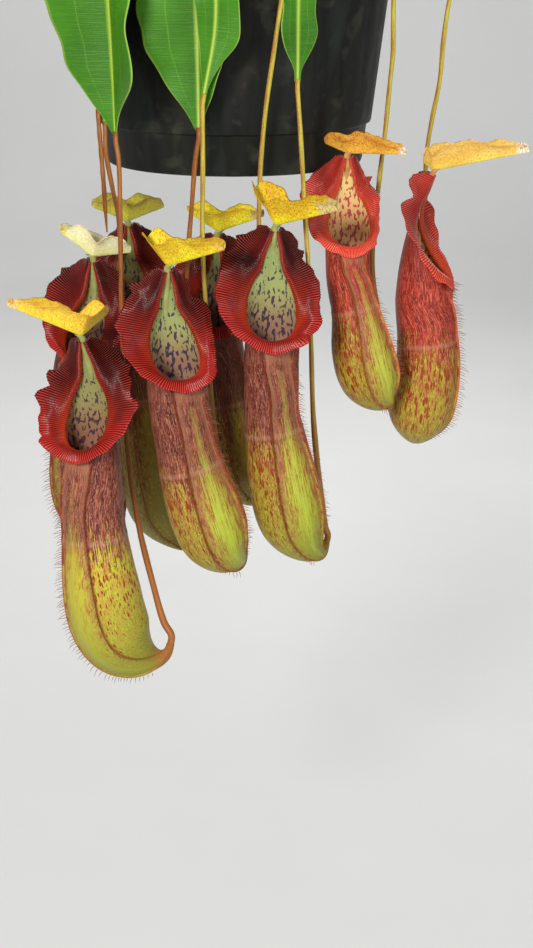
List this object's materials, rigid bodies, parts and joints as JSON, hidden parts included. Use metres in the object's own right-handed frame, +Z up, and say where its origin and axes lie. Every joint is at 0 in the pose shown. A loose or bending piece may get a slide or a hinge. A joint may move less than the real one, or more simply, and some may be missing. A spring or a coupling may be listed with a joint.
{
  "type": "hanging pitcher plant",
  "caption": "Pitcher plant in a plain plastic hanging pot: strap leaves arch over the rim and long tendrils carry hollow red-collared cups with yellow lids.",
  "frame": {"origin": "inner crown of the hanging hook, where the object hangs from a rail or a ceiling hook", "axes": "+Z up, -Y towards the picture's viewer, +X to the picture's right"},
  "size_m": [0.3756, 0.3655, 0.9339],
  "materials": {
    "pot_plastic": "satin",
    "bark_and_moss": "rough",
    "stem": "satin",
    "hanger_plastic": "satin",
    "hanger_wire": "gloss",
    "leaf": "gloss",
    "tendril": "satin",
    "pitcher": "satin",
    "pitcher_pink": "satin",
    "peristome": "gloss",
    "lid": "satin",
    "lid_pale": "gloss"
  },
  "bodies": {
    "root": {"pot": "pot_plastic", "soil": "bark_and_moss", "stem": "stem", "hanger_hook": "hanger_plastic", "hanger_wire_1": "hanger_wire", "hanger_wire_2": "hanger_wire", "hanger_wire_3": "hanger_wire", "leaf_1": "leaf", "leaf_2": "leaf", "leaf_3": "leaf", "leaf_4": "leaf", "leaf_5": "leaf", "leaf_6": "leaf", "leaf_7": "leaf", "leaf_8": "leaf", "leaf_9": "leaf", "leaf_10": "leaf", "leaf_11": "leaf", "leaf_12": "leaf", "leaf_13": "leaf", "leaf_14": "leaf", "tendril_1": "tendril", "tendril_2": "tendril", "tendril_3": "tendril", "tendril_4": "tendril", "tendril_5": "tendril", "tendril_6": "tendril", "tendril_7": "tendril", "tendril_8": "tendril", "tendril_9": "tendril", "pitcher_1": "pitcher", "pitcher_2": "pitcher", "pitcher_3": "pitcher", "pitcher_4": "pitcher", "pitcher_5": "pitcher", "pitcher_6": "pitcher", "pitcher_7": "pitcher_pink", "pitcher_8": "pitcher_pink", "peristome_1": "peristome", "peristome_2": "peristome", "peristome_3": "peristome", "peristome_4": "peristome", "peristome_5": "peristome", "peristome_6": "peristome", "peristome_7": "peristome", "peristome_8": "peristome", "lid_1": "lid", "lid_2": "lid", "lid_3": "lid", "lid_4": "lid_pale", "lid_5": "lid", "lid_6": "lid", "lid_7": "lid", "lid_8": "lid"}
  },
  "joints": []
}
